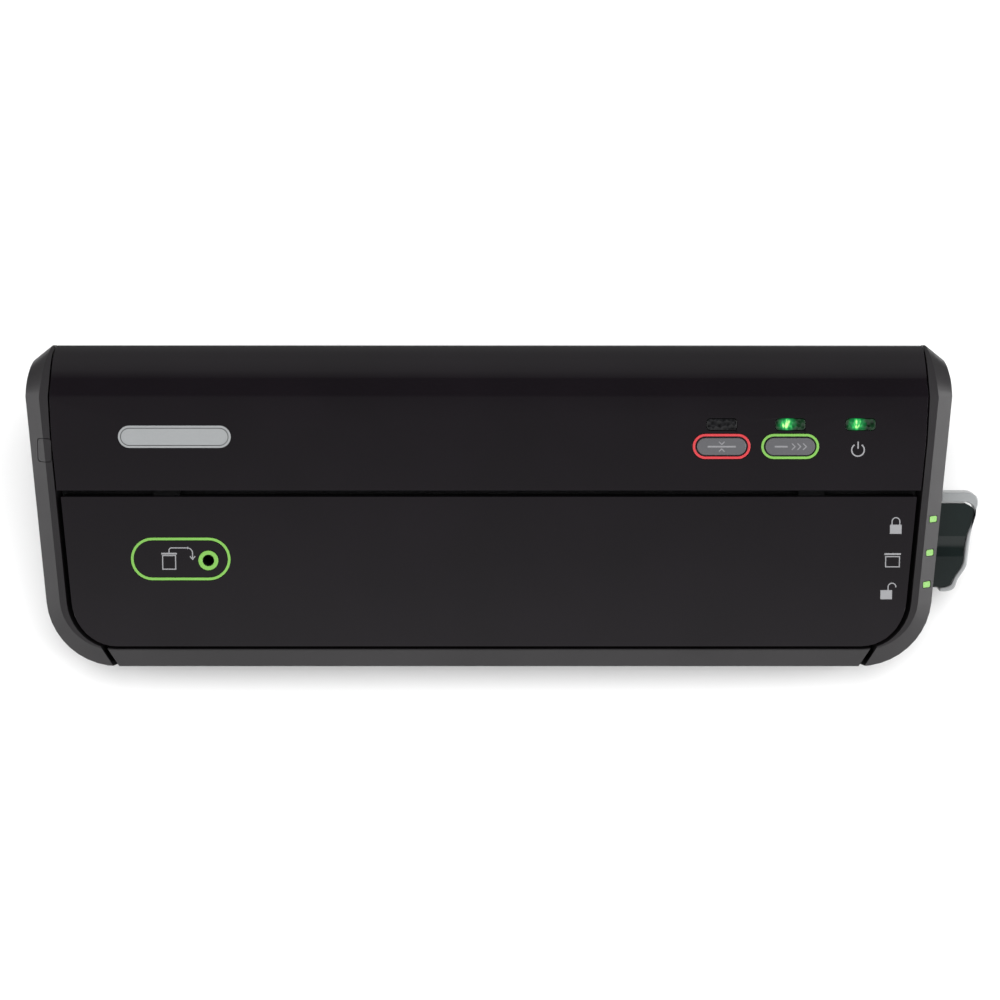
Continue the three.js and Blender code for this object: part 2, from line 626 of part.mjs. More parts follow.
const lens = (x) => prism(pill(x, LIGHT_U, LIGHT.width, LIGHT.height, 1.5), -3.5, 0.1);

const tactSwitch = (x) => block([x - 3, x + 3], [BUTTON_U - 3, BUTTON_U + 3], [BOARD_N + GAP, -7.5])
  .add(rod('z', 1.7, [-8, -6], [x, BUTTON_U], 12));

// The board with its three indicator lamps soldered on.
function controlBoard() {
  let plate = block([88, 184], [89, 113], [BOARD_N - 1.6, BOARD_N]);
  for (const x of [SEAL_X, VAC_X, POWER_X]) {
    plate = plate.add(rod('z', 1.5, [BOARD_N - 1, -5.5], [x, LIGHT_U], 12));
  }
  return plate;
}

// ---- Machinery behind the bulkhead, in the case's frame -------------------------------------
function pumpMotor() {
  const { y, z, motorEnd, motorLength, motorRadius } = PUMP;
  return rod('x', motorRadius, [motorEnd - motorLength, motorEnd], [y, z], 24);
}

function pumpCrank() {
  const { y, z, motorEnd, shaft, cam } = PUMP;
  return rod('x', shaft, [motorEnd + GAP, -56.5], [y, z], 12)
    .add(rod('x', cam, [-72, -66], [y, z + PUMP.throw], 20));
}

// The pump's block of cylinder and valves, on a plate that carries the end of the crank.
function pumpHead() {
  return block([-74, -48], [100, 132], [43.5, 60])
    .add(block([-61.5, -57.5], [102, 130], [12, 44]))
    .subtract(rod('x', PUMP.shaft + RUNNING, [-63, -56], [PUMP.y, PUMP.z], 16));
}

function vacuumHose() {
  const start = onSlope(HOSE.x, HOSE.u, CHANNEL.floor - 2 - GAP);
  const route = new THREE.CatmullRomCurve3([
    start,
    onSlope(HOSE.x, HOSE.u, CHANNEL.floor - 7),
    new THREE.Vector3(-94, 74, 17),
    new THREE.Vector3(-70, 88, 16),
    new THREE.Vector3(-48, 98, 28),
    new THREE.Vector3(-38, 108, 42),
    new THREE.Vector3(-39.5, 115, 50.5),
    new THREE.Vector3(-47.2, 116, 52),
  ]);
  const section = new THREE.Shape().absarc(0, 0, HOSE.radius, 0, 2 * Math.PI);
  section.holes.push(new THREE.Path().absarc(0, 0, HOSE.bore, 0, 2 * Math.PI, true));
  const settings = { steps: 18, extrudePath: route, curveSegments: 4 };
  return toSolid(new THREE.ExtrudeGeometry(section, settings));
}

// A laminated core with two windows for its coil.
function transformerCore() {
  const window = (x0) => block([x0, x0 + 11], [90, 140], [17, 45]);
  return block(CORE.x, CORE.y, CORE.z).subtract(window(77)).subtract(window(100));
}

function transformerCoil() {
  return block([77.4, 110.6], [93, 139], [17.4, 44.6])
    .subtract(block([88 - GAP, 100 + GAP], [98 - GAP, 134 + GAP], [0, 60]));
}

// The main board with its relay, two capacitors and a driver block.
function mainBoard() {
  return block([-36, 50], [96, 136], [9, 10.6])
    .add(block([-28, -10], [104, 118], [10, 24]))
    .add(rod('z', 6, [10, 30], [8, 112], 16))
    .add(rod('z', 5, [10, 24], [26, 124], 16))
    .add(block([30, 44], [101, 111], [10, 20]));
}

const lidSwitch = () => block([-177, -171], [4.5, 24.5], [-30, DECK_N - DECK_THICK - GAP])
  .add(block([-175, -173], [24, 27], [-27, -25]));

// ---- Assembly -------------------------------------------------------------------------------
const sealer = new THREE.Group();
const caseGroup = new THREE.Group();
const slopeGroup = new THREE.Group();
caseGroup.position.set((HALF_WIDTH - LEVER_REACH) / 2, -DEPTH / 2, 0);
slopeGroup.position.set(0, EDGE_Y, EDGE_Z);
slopeGroup.rotation.x = SLOPE;
sealer.add(caseGroup);
caseGroup.add(slopeGroup);

const inCase = (name, solid, material) => caseGroup.add(toMesh(name, solid, material));
const inSlope = (name, solid, material) => slopeGroup.add(toMesh(name, solid, material));

function addShells() {
  const stock = railStock();
  inCase('base_shell', baseShell(), satin());
  inCase('right_cheek', rightCheek(stock), satin());
  inCase('left_cheek', leftCheek(stock), satin());
  inCase('front_apron', stock.intersect(apronZone(-APRON_GAP)), satin());
  inCase('rear_housing', rearHousing(), gloss());
  inCase('left_rail_cap', inlay(capShape(0), RAIL_CAP.depth), satin());
  for (const [place, u] of Object.entries(MARKS)) {
    inCase(`mark_${place}`, inlay(markShape(u, 0), MARK.depth), lime());
  }
  inCase('cord_inlet', cordInlet(), rubber());
  FEET.forEach(([x, y], i) => inCase(`foot_${i + 1}`, foot(x, y), rubber()));
  POSTS.forEach(([x, y], i) => inCase(`base_screw_${i + 1}`, baseScrew(x, y), steel()));
}

function addLid() {
  const { x, u, width, height } = PORT_PLATE;
  inSlope('lid_cover', lidCover(), gloss());
  inSlope('lid_liner', lidLiner(), innerPlastic());
  inSlope('upper_gasket', gasket(-15.4, LID_WALL_N - GAP), rubber());
  inSlope('pressure_strip', sealStrip(160, 7, -15.8, LID_WALL_N - GAP), silicone());
  inSlope('right_catch', catchBracket(1), steel());
  inSlope('left_catch', catchBracket(-1), steel());
  inSlope('port_ring', ringPlate(x, u, width, height, RING.stroke, PORT_SINK, RING_PROUD), lime());
  inSlope('port_plate', portPlate(), gloss());
  inSlope('port_grommet', portGrommet(), lime());
  inSlope('port_tube', portTube(), innerPlastic());
}

function addDeck() {
  inSlope('deck', deck(), innerPlastic());
  inSlope('drip_tray', dripTray(), innerPlastic());
  inSlope('lower_gasket', gasket(DECK_N + GAP, -15.7), rubber());
  inSlope('seal_bar', sealStrip(160, 8, TROUGH.floor + GAP, -17.5), innerPlastic());
  inSlope('heating_element', sealStrip(158, 3, -17.2, -16.7), steel());
  inSlope('release_tape', sealStrip(159, 9, -16.4, -16.1), tape());
  for (const [side, x] of [['right', HINGE_X], ['left', -HINGE_X]]) {
    inSlope(`${side}_hinge_pin`, rod('x', PIN_RADIUS, [x - 10, x + 10], [HINGE_U, HINGE_N]), steel());
  }
  inSlope('lid_switch', lidSwitch(), blackRelay());
}

function addLatch() {
  inSlope('latch_shaft', rod('x', SHAFT_RADIUS, [-190, 215], [SHAFT_U, SHAFT_N]), steel());
  inSlope('right_hook', latchHook(HOOK_X), steel());
  inSlope('left_hook', latchHook(-HOOK_X - HOOK_THICK), steel());
  inSlope('lever_blade', leverBlade(), gloss());
  inSlope('lever_trim', leverTrim(), silver());
}

function addPanel() {
  const ring = (x) => ringPlate(x, BUTTON_U, RING.width, RING.height, RING.stroke, -0.9, RING_PROUD);
  inSlope('seal_button', button(SEAL_X), greyPlastic());
  inSlope('vac_seal_button', button(VAC_X), greyPlastic());
  inSlope('seal_ring', ring(SEAL_X), red());
  inSlope('vac_seal_ring', ring(VAC_X), lime());
  for (const [name, x] of [['seal', SEAL_X], ['vac_seal', VAC_X], ['power', POWER_X]]) {
    inSlope(`${name}_light`, lens(x), finish(0x1c2a1e, 0.2));
  }
  inSlope('seal_switch', tactSwitch(SEAL_X), blackRelay());
  inSlope('vac_seal_switch', tactSwitch(VAC_X), blackRelay());
  inSlope('control_board', controlBoard(), board());
  inSlope('blank_badge', prism(pillAt(BADGE, 0), -0.4, 0.1), silver());
}

function addMachinery() {
  inCase('pump_motor', pumpMotor(), steel());
  inCase('pump_crank', pumpCrank(), steel());
  inCase('pump_head', pumpHead(), innerPlastic());
  inCase('vacuum_hose', vacuumHose(), silicone());
  inCase('transformer_core', transformerCore(), steel());
  inCase('transformer_coil', transformerCoil(), copper());
  inCase('main_board', mainBoard(), board());
}

addShells();
addLid();
addDeck();
addLatch();
addPanel();
addMachinery();

export default sealer;
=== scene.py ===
"""The looks of a countertop vacuum sealer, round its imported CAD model: metres, +Z up, front towards -Y."""

import json
import math

import bmesh
import bpy
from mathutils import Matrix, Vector


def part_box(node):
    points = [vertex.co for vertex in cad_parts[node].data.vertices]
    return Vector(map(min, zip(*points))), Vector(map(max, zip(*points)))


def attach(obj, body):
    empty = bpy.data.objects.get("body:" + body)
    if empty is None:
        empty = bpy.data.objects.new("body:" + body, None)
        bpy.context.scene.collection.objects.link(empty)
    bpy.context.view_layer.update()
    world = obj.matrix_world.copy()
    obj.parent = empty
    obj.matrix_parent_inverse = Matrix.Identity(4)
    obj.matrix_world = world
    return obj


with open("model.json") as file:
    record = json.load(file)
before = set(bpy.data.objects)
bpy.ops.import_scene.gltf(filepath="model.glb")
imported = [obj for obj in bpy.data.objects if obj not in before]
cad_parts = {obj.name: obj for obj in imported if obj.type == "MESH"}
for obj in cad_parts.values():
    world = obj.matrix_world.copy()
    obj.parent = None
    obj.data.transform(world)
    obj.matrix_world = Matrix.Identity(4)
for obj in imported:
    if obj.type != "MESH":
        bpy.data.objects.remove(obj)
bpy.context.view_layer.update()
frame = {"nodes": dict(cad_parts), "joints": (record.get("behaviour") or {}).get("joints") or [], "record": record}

MM = 0.001
JOINTS = {joint["name"]: joint for joint in frame["joints"]}
SLOTS = {part["node"]: part["material_slot"] for part in frame["record"]["subparts"]}
BODY_OF = {
    node: body for body, members in frame["record"]["behaviour"]["bodies"].items() for node in members
}

# ---- The slope frame: x across, u up the slope, n out of it, in millimetres ---------------------
LID_INSIDE = 2.3  # faces of the lid deeper than this are its inside, under a skin of 2.4
HINGE_U, HINGE_N = 79.5, -5.5  # where the lid's hinge lies in the slope frame
inward = Vector(JOINTS["seal_press"]["axis"])
NORMAL = -inward.normalized()
UP_SLOPE = Vector((0, NORMAL.z, -NORMAL.y))
SLOPE_ORIGIN = Vector(JOINTS["lid_hinge"]["pos_m"]) - (UP_SLOPE * HINGE_U + NORMAL * HINGE_N) * MM


def on_slope(x, u, n=0.0):
    return SLOPE_ORIGIN + (Vector((x, 0, 0)) + UP_SLOPE * u + NORMAL * n) * MM


def slope_place(point):
    """The (x, u, n) of a point, in millimetres."""
    offset = (point - SLOPE_ORIGIN) / MM
    return offset.x, offset.dot(UP_SLOPE), offset.dot(NORMAL)


def middle(node):
    low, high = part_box(node)
    return slope_place((low + high) / 2)


# ---- Camera -------------------------------------------------------------------------------------
CAMERA_ELEVATION = math.radians(74.64)
CAMERA_DISTANCE = 1.311
CAMERA_LENS = 100.9
SENSOR_WIDTH = 36
CAMERA_TARGET = Vector((-0.0034, 0.0021, 0.0505))


def add_camera():
    data = bpy.data.cameras.new("camera")
    data.lens = CAMERA_LENS
    data.sensor_width = SENSOR_WIDTH
    camera = bpy.data.objects.new("camera", data)
    bpy.context.scene.collection.objects.link(camera)
    towards = Vector((0, -math.cos(CAMERA_ELEVATION), math.sin(CAMERA_ELEVATION)))
    camera.location = CAMERA_TARGET + towards * CAMERA_DISTANCE
    camera.rotation_euler = (math.pi / 2 - CAMERA_ELEVATION, 0, 0)
    bpy.context.scene.camera = camera


# ---- Materials ----------------------------------------------------------------------------------
class Shader:
    """A Principled material with short calls for the nodes that feed it."""

    def __init__(self, name, color, roughness, metallic=0.0):
        self.material = bpy.data.materials.new(name)
        self.material.use_nodes = True
        self.material.diffuse_color = (*color, 1)
        self.tree = self.material.node_tree
        self.shader = self.tree.nodes["Principled BSDF"]
        self.set("Base Color", (*color, 1))
        self.set("Roughness", roughness)
        self.set("Metallic", metallic)

    def set(self, socket, value):
        self.shader.inputs[socket].default_value = value
        return self

    def link(self, source, target):
        self.tree.links.new(source, target)

    def node(self, kind, **values):
        made = self.tree.nodes.new(kind)
        for socket, value in values.items():
            made.inputs[socket.replace("_", " ")].default_value = value
        return made

    def place(self, stretch=(1, 1, 1)):
        """Object coordinates in metres, optionally stretched."""
        coordinates = self.node("ShaderNodeTexCoord")
        mapping = self.node("ShaderNodeMapping", Scale=stretch)
        self.link(coordinates.outputs["Object"], mapping.inputs["Vector"])
        return mapping.outputs["Vector"]

    def noise(self, size_mm, detail=3.0, stretch=(1, 1, 1)):
        made = self.node("ShaderNodeTexNoise", Scale=1000.0 / size_mm, Detail=detail)
        self.link(self.place(stretch), made.inputs["Vector"])
        return made.outputs["Fac"]

    def mix_color(self, factor, first, second):
        """Blends two colours by a factor that mostly lies near its middle."""
        ramp = self.node("ShaderNodeValToRGB")
        for stop, color, position in zip(ramp.color_ramp.elements, (first, second), (0.35, 0.65)):
            stop.color = (*color, 1)
            stop.position = position
        self.link(factor, ramp.inputs["Fac"])
        self.link(ramp.outputs["Color"], self.shader.inputs["Base Color"])
        return self

    def vary_roughness(self, factor, low, high):
        spread = self.node("ShaderNodeMapRange")
        spread.inputs["To Min"].default_value = low
        spread.inputs["To Max"].default_value = high
        self.link(factor, spread.inputs["Value"])
        self.link(spread.outputs["Result"], self.shader.inputs["Roughness"])
        return self

    def bump(self, factor, depth_mm):
        made = self.node("ShaderNodeBump", Strength=1.0, Distance=depth_mm * MM)
        self.link(factor, made.inputs["Height"])
        self.link(made.outputs["Normal"], self.shader.inputs["Normal"])
        return self


TONE_DRIFT_MM, GLOSS_DRIFT_MM = 45, 9  # sizes of the slow drifts of tone and of gloss
GLOSS_SPREAD = 0.15


def moulded(name, color, roughness, grain_mm, depth_mm, shift=0.12):
    """Moulded plastic: a fine grain, a slow drift of tone (by the share shift) and of gloss."""
    made = Shader(name, color, roughness)
    lighter = tuple(c * (1 + shift) for c in color)
    darker = tuple(c * (1 - shift) for c in color)
    made.mix_color(made.noise(TONE_DRIFT_MM, 2), darker, lighter)
    gloss_noise = made.noise(GLOSS_DRIFT_MM, 4)
    made.vary_roughness(gloss_noise, roughness * (1 - GLOSS_SPREAD), roughness * (1 + GLOSS_SPREAD))
    return made.bump(made.noise(grain_mm, 3), depth_mm)


def gloss_black():
    return moulded("gloss_black", (0.0038, 0.0025, 0.0039), 0.07, 60, 0.012, 0.1).set("IOR", 1.5)


def gloss_inside():
    """The unpolished inner faces of the glossy mouldings."""
    return moulded("gloss_inside", (0.006, 0.006, 0.0065), 0.75, 0.5, 0.02)


def lever_black():
    """Polished black with a green cast, as on the lever's face."""
    return moulded("lever_black", (0.0062, 0.0105, 0.010), 0.09, 40, 0.012, 0.1)


def satin_grey():
    made = moulded("satin_grey", (0.015, 0.0138, 0.015), 0.4, 0.35, 0.012)
    return made.set("Specular IOR Level", 0.4)


def inner_plastic():
    return moulded("inner_plastic", (0.01, 0.0103, 0.011), 0.5, 0.5, 0.015)


def black_rubber():
    return moulded("black_rubber", (0.011, 0.011, 0.0115), 0.78, 0.4, 0.02)


def lime():
    return moulded("lime", (0.165, 0.385, 0.072), 0.34, 0.6, 0.004, 0.05)


def red():
    return moulded("red", (0.5, 0.04, 0.048), 0.34, 0.6, 0.004, 0.05)


def grey_button():
    return moulded("grey_button", (0.084, 0.084, 0.09), 0.36, 0.3, 0.01, 0.06)


def silicone():
    return moulded("silicone", (0.09, 0.095, 0.10), 0.6, 0.6, 0.01)


def black_switch():
    return moulded("black_switch", (0.012, 0.012, 0.013), 0.45, 0.5, 0.01)


def steel():
    """Rolled and plated steel, with grain along X."""
    made = Shader("steel", (0.56, 0.57, 0.58), 0.32, 1.0)
    grain = made.noise(0.25, 2, (0.02, 1, 1))
    made.vary_roughness(grain, 0.24, 0.42)
    made.mix_color(made.noise(20, 2), (0.52, 0.53, 0.54), (0.60, 0.61, 0.62))
    return made.bump(grain, 0.006)


def silver():
    """Satin silver paint with fine flakes."""
    made = Shader("silver", (0.31, 0.32, 0.325), 0.32, 0.25)
    flakes = made.noise(0.12, 1)
    made.mix_color(flakes, (0.28, 0.29, 0.295), (0.34, 0.35, 0.355))
    made.vary_roughness(made.noise(4, 3), 0.26, 0.38)
    return made.bump(flakes, 0.003)


def circuit_board():
    made = Shader("circuit_board", (0.02, 0.10, 0.045), 0.42)
    cells = made.node("ShaderNodeTexVoronoi", Scale=240.0)
    cells.distance = "MANHATTAN"
    made.link(made.place(), cells.inputs["Vector"])
    made.mix_color(cells.outputs["Distance"], (0.045, 0.17, 0.07), (0.012, 0.075, 0.032))
    return made.bump(cells.outputs["Distance"], 0.05)


def copper_coil():
    made = Shader("copper_coil", (0.50, 0.20, 0.075), 0.28, 0.85)
    turns = made.node("ShaderNodeTexWave", Scale=300.0, Distortion=0.4)
    turns.bands_direction = "Z"
    made.link(made.place(), turns.inputs["Vector"])
    made.mix_color(turns.outputs["Fac"], (0.33, 0.11, 0.04), (0.58, 0.25, 0.10))
    return made.bump(turns.outputs["Fac"], 0.2)


def release_tape():
    """Woven glass cloth in a non-stick coat."""
    made = Shader("release_tape", (0.25, 0.16, 0.08), 0.4)
    weave = made.node("ShaderNodeTexChecker", Scale=1600.0)
    made.link(made.place(), weave.inputs["Vector"])
    made.mix_color(weave.outputs["Fac"], (0.20, 0.125, 0.06), (0.30, 0.19, 0.10))
    return made.bump(weave.outputs["Fac"], 0.02)


def print_ink():
    return moulded("print_ink", (0.25, 0.25, 0.26), 0.5, 0.5, 0.004, 0.04)


def key_ink():
    return moulded("key_ink", (0.20, 0.20, 0.21), 0.5, 0.5, 0.004, 0.04)


LAMP_SHIFT = 1.6  # the lamps shine this far left of the middle of their windows, in millimetres
GLOW_CORE, GLOW_REACH = 0.3 * MM, 5.8 * MM  # the glow is full within the one and gone beyond the other
GLOW_COLORS = [  # position on the ramp, colour: dim green to nearly white
    (0.04, (0.0, 0.003, 0.001)), (0.28, (0.002, 0.15, 0.035)),
    (0.42, (0.03, 0.5, 0.1)), (0.54, (0.62, 1.0, 0.36)),
]


def lens(name, lamp=None):
    """A smoked, ribbed indicator window; lamp is the place of the lamp that shines through it."""
    made = Shader(name, (0.003, 0.005, 0.0035), 0.07)
    ribs = made.node("ShaderNodeTexVoronoi", Scale=620.0, Randomness=0.8)
    made.link(made.place((1.0, 0.6, 0.6)), ribs.inputs["Vector"])
    facets = ribs.outputs["Distance"]
    if not lamp:
        made.bump(facets, 0.2)
        return made.mix_color(facets, (0.002, 0.002, 0.0024), (0.006, 0.006, 0.007))
    made.bump(facets, 0.45)
    made.mix_color(facets, (0.001, 0.006, 0.002), (0.003, 0.02, 0.006))
    return glow_round(made, lamp)


def glow_round(made, lamp):
    """Light that fades with the distance from the lamp, broken up by the ribs."""
    offset = made.node("ShaderNodeVectorMath")
    offset.operation = "DISTANCE"
    offset.inputs[1].default_value = lamp
    made.link(made.place(), offset.inputs[0])
    fall = made.node("ShaderNodeMapRange")
    fall.interpolation_type = "SMOOTHSTEP"
    fall.inputs["From Min"].default_value = GLOW_CORE
    fall.inputs["From Max"].default_value = GLOW_REACH
    fall.inputs["To Min"].default_value = 1.0
    fall.inputs["To Max"].default_value = 0.0
    made.link(offset.outputs["Value"], fall.inputs["Value"])
    sparkle = made.node("ShaderNodeMath")
    sparkle.operation = "MULTIPLY"
    made.link(fall.outputs["Result"], sparkle.inputs[0])
    made.link(made.noise(1.3, 3, (1.0, 0.45, 0.45)), sparkle.inputs[1])
    ramp = made.node("ShaderNodeValToRGB")
    stops = ramp.color_ramp.elements
    while len(stops) < len(GLOW_COLORS):
        stops.new(1.0)
    for stop, (position, color) in zip(stops, GLOW_COLORS):
        stop.position = position
        stop.color = (*color, 1)
    made.link(sparkle.outputs["Value"], ramp.inputs["Fac"])
    made.link(ramp.outputs["Color"], made.shader.inputs["Emission Color"])
    return made.set("Emission Strength", 1.3)


MAKERS = {
    "gloss_black": gloss_black, "satin_grey": satin_grey, "inner_plastic": inner_plastic,
    "black_rubber": black_rubber, "lime": lime, "red": red, "grey_button": grey_button,
    "steel": steel, "silver": silver, "circuit_board": circuit_board, "copper_coil": copper_coil,
    "silicone": silicone, "release_tape": release_tape, "black_switch": black_switch,
}
EXTRAS = {  # looks that go with no slot of the record
    "print_ink": print_ink, "key_ink": key_ink, "gloss_inside": gloss_inside, "lever_black": lever_black,
}
LIBRARY = {name: maker().material for name, maker in (MAKERS | EXTRAS).items()}


def dress(piece, material):
    piece.data.materials.clear()
    piece.data.materials.append(material)


def make_piece(name, mesh, material):
    """Turns a finished bmesh into a dressed object of the scene."""
    data = bpy.data.meshes.new(name)
    mesh.to_mesh(data)
    mesh.free()
    piece = bpy.data.objects.new(name, data)
    bpy.context.scene.collection.objects.link(piece)
    dress(piece, material)
    return piece


# ---- Finish of the CAD nodes --------------------------------------------------------------------
EDGE_MM = {
    "lid_cover": 0.55, "rear_housing": 0.4, "right_cheek": 0.6, "left_cheek": 0.6, "front_apron": 0.6,
    "base_shell": 0.8, "seal_button": 0.5, "vac_seal_button": 0.5, "lever_trim": 0.7, "port_grommet": 0.4,
    "port_ring": 0.25, "seal_ring": 0.25, "vac_seal_ring": 0.25,
}
EDGE_ELSEWHERE_MM = 0.2
PIERCED = ("deck", "lid_liner", "lid_cover", "rear_housing", "base_shell")  # flat faces with many holes
WELD_REACH_MM = 0.002
FLAT_ANGLE = math.radians(0.6)  # faces nearer to one plane than this are joined
EDGE_ANGLE = math.radians(24)  # edges sharper than this are rounded


def soften(piece, width_mm):
    """Small rounds on the moulded edges, and shading that keeps the flat faces flat."""
    weld = piece.modifiers.new("weld", "WELD")
    weld.merge_threshold = WELD_REACH_MM * MM
    if piece.name not in PIERCED:
        planar = piece.modifiers.new("planar", "DECIMATE")
        planar.decimate_type = "DISSOLVE"
        planar.angle_limit = FLAT_ANGLE
    rounds = piece.modifiers.new("rounds", "BEVEL")
    rounds.width = width_mm * MM
    rounds.segments = 3
    rounds.limit_method = "ANGLE"
    rounds.angle_limit = EDGE_ANGLE
    rounds.miter_outer = "MITER_ARC"
    normals = piece.modifiers.new("normals", "WEIGHTED_NORMAL")
    normals.keep_sharp = True
    piece.data.shade_smooth()


def finish_cad():
    for name, piece in frame["nodes"].items():
        slot = SLOTS[name]
        if slot in LIBRARY:
            dress(piece, LIBRARY[slot])
        soften(piece, EDGE_MM.get(name, EDGE_ELSEWHERE_MM))
    roughen_inside(frame["nodes"]["lid_cover"], lambda face: slope_place(face.center)[2] < -LID_INSIDE)
    low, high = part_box("rear_housing")
    core = (low + high) / 2
    roughen_inside(frame["nodes"]["rear_housing"], lambda face: face.normal.dot(core - face.center) > 0)
    dress(frame["nodes"]["lever_blade"], LIBRARY["lever_black"])
    dress(frame["nodes"]["seal_light"], lens("seal_light").material)
    for name in ("vac_seal_light", "power_light"):
        x, u, _ = middle(name)
        dress(frame["nodes"][name], lens(name, on_slope(x - LAMP_SHIFT, u, 0)).material)


def roughen_inside(piece, is_inside):
    """Gives the hidden faces of a glossy moulding the unpolished finish."""
    piece.data.materials.append(LIBRARY["gloss_inside"])
    for face in piece.data.polygons:
        if is_inside(face):
            face.material_index = 1


# ---- Printed marks ------------------------------------------------------------------------------
INK_MM = 0.05  # thickness of a printed mark
THIN, BOLD = 0.5, 0.8  # widths of its strokes
MITRE_LIMIT = 0.4  # keeps the corners of sharp bends short


class Print:
    """A flat mark made of strokes and filled outlines, in millimetres about its own middle."""

    def __init__(self):
        self.faces = []

    def fill(self, outline):
        self.faces.append(outline)
        return self

    def stroke(self, points, width, closed=False):
        """A ribbon along a path, with mitred corners."""
        count = len(points)
        left, right = [], []
        for i, here in enumerate(points):
            before = points[i - 1] if i or closed else here
            after = points[(i + 1) % count] if i < count - 1 or closed else here
            first = (Vector(here) - Vector(before)).normalized() if before != here else None
            second = (Vector(after) - Vector(here)).normalized() if after != here else None
            first, second = first or second, second or first
            along = (first + second).normalized()
            side = Vector((-along.y, along.x)) * (width / 2) / max(MITRE_LIMIT, along.dot(first))
            left.append(Vector(here) + side)
            right.append(Vector(here) - side)
        for i in range(count if closed else count - 1):
            j = (i + 1) % count
            self.faces.append([right[i], right[j], left[j], left[i]])
        return self

    def put(self, name, place, body, material, slot):
        """Lays the mark on the slope with its middle at place (x, u, n)."""
        x, u, n = place
        mesh = bmesh.new()
        for outline in self.faces:
            base = [mesh.verts.new(on_slope(x + p[0], u + p[1], n)) for p in outline]
            mesh.faces.new(base)
        bmesh.ops.remove_doubles(mesh, verts=mesh.verts, dist=1e-7)
        bmesh.ops.recalc_face_normals(mesh, faces=mesh.faces)
        for face in mesh.faces:
            if face.normal.dot(NORMAL) < 0:
                face.normal_flip()
        grown = bmesh.ops.extrude_face_region(mesh, geom=list(mesh.faces))
        lifted = [item for item in grown["geom"] if isinstance(item, bmesh.types.BMVert)]
        bmesh.ops.translate(mesh, verts=lifted, vec=NORMAL * INK_MM * MM)
        bmesh.ops.recalc_face_normals(mesh, faces=mesh.faces)
        piece = make_piece(name, mesh, material)
        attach(piece, body)


def arc_points(center, radius, start, end, steps):
    """Points along an arc, with its angles in degrees."""
    points = []
    for i in range(steps + 1):
        angle = math.radians(start + (end - start) * i / steps)
        points.append((center[0] + radius * math.cos(angle), center[1] + radius * math.sin(angle)))
    return points


def pill_points(width, height):
    radius = height / 2
    reach = width / 2 - radius
    return arc_points((reach, 0), radius, -90, 90, 12) + arc_points((-reach, 0), radius, 90, 270, 12)


def box_points(x0, x1, y0, y1):
    return [(x0, y0), (x1, y0), (x1, y1), (x0, y1)]


POWER_STROKE = 0.6
KEY_PROUD = 0.6  # the keys' tops stand this far out of the slope
BADGE_WIDTH, BADGE_HEIGHT, BADGE_PROUD = 52, 10.4, 0.1
BADGE_MARGIN, BADGE_STROKE = 1.2, 0.3
LEVER_MARK_DOWN = 2.6  # the lever's pictograms stand this far below the lime marks
POWER_SHIFT = (-1, -11.8)  # from the middle of the power light, across and up the slope
PORT_SHIFT = (2.6, -0.6)  # from the middle of the port plate


def padlock(shift):
    """A padlock whose shackle stands shift to the side: nought when it is shut."""
    mark = Print().fill(box_points(-2.7, 2.7, -3.9, 0.4))
    foot = 1.7 if shift else 0.4
    shackle = [(-1.8, 0.4)] + arc_points((0, 1.9), 1.8, 180, 0, 12) + [(1.8, foot)]
    return mark.stroke([(x + shift, y) for x, y in shackle], THIN)


def rest_mark():
    """A closed box: put away for storage."""
    mark = Print().stroke(box_points(-3.2, 3.2, -3.6, 1.2), THIN, closed=True)
    return mark.stroke([(-3.8, 2.4), (3.8, 2.4)], BOLD)


def power_mark():
    """A ring that is open at the top, with an upright line in the opening."""
    mark = Print().stroke(arc_points((0, 0), 2.9, 125, 415, 24), POWER_STROKE)
    return mark.stroke([(0, 0.6), (0, 3.9)], POWER_STROKE)


def seal_mark():
    """A weld line between the two arrows that press it."""
    mark = Print().stroke([(-6.5, 0), (6.5, 0)], BOLD)
    for side in (1, -1):
        mark.stroke([(-1.3, 2.3 * side), (0, 1.0 * side), (1.3, 2.3 * side)], THIN)
    return mark


def vacuum_mark():
    """A shrunken bag, arrows drawing its air out, and the weld line."""
    mark = Print().stroke([(-7.2, 0), (-1.2, 0)], BOLD)
    for x in (1.6, 4.2, 6.8):
        mark.stroke([(x - 0.9, 1.5), (x + 0.6, 0), (x - 0.9, -1.5)], THIN)
    return mark


def jar_mark():
    """A lidded jar with a hose that runs towards the port."""
    mark = Print().stroke(box_points(-11.0, -5.0, -4.2, 2.2), THIN, closed=True)
    mark.stroke([(-11.6, 3.1), (-4.4, 3.1)], BOLD)
    hose = [(-8.0, 3.4), (-8.0, 4.6)] + arc_points((-6.8, 4.6), 1.2, 180, 90, 6)
    hose += [(0.5, 5.8)] + arc_points((0.5, 3.4), 2.4, 90, 0, 8) + [(2.9, 0.6)]
    return mark.stroke(hose, THIN).stroke([(1.7, 1.9), (2.9, 0.4), (4.1, 1.9)], THIN)


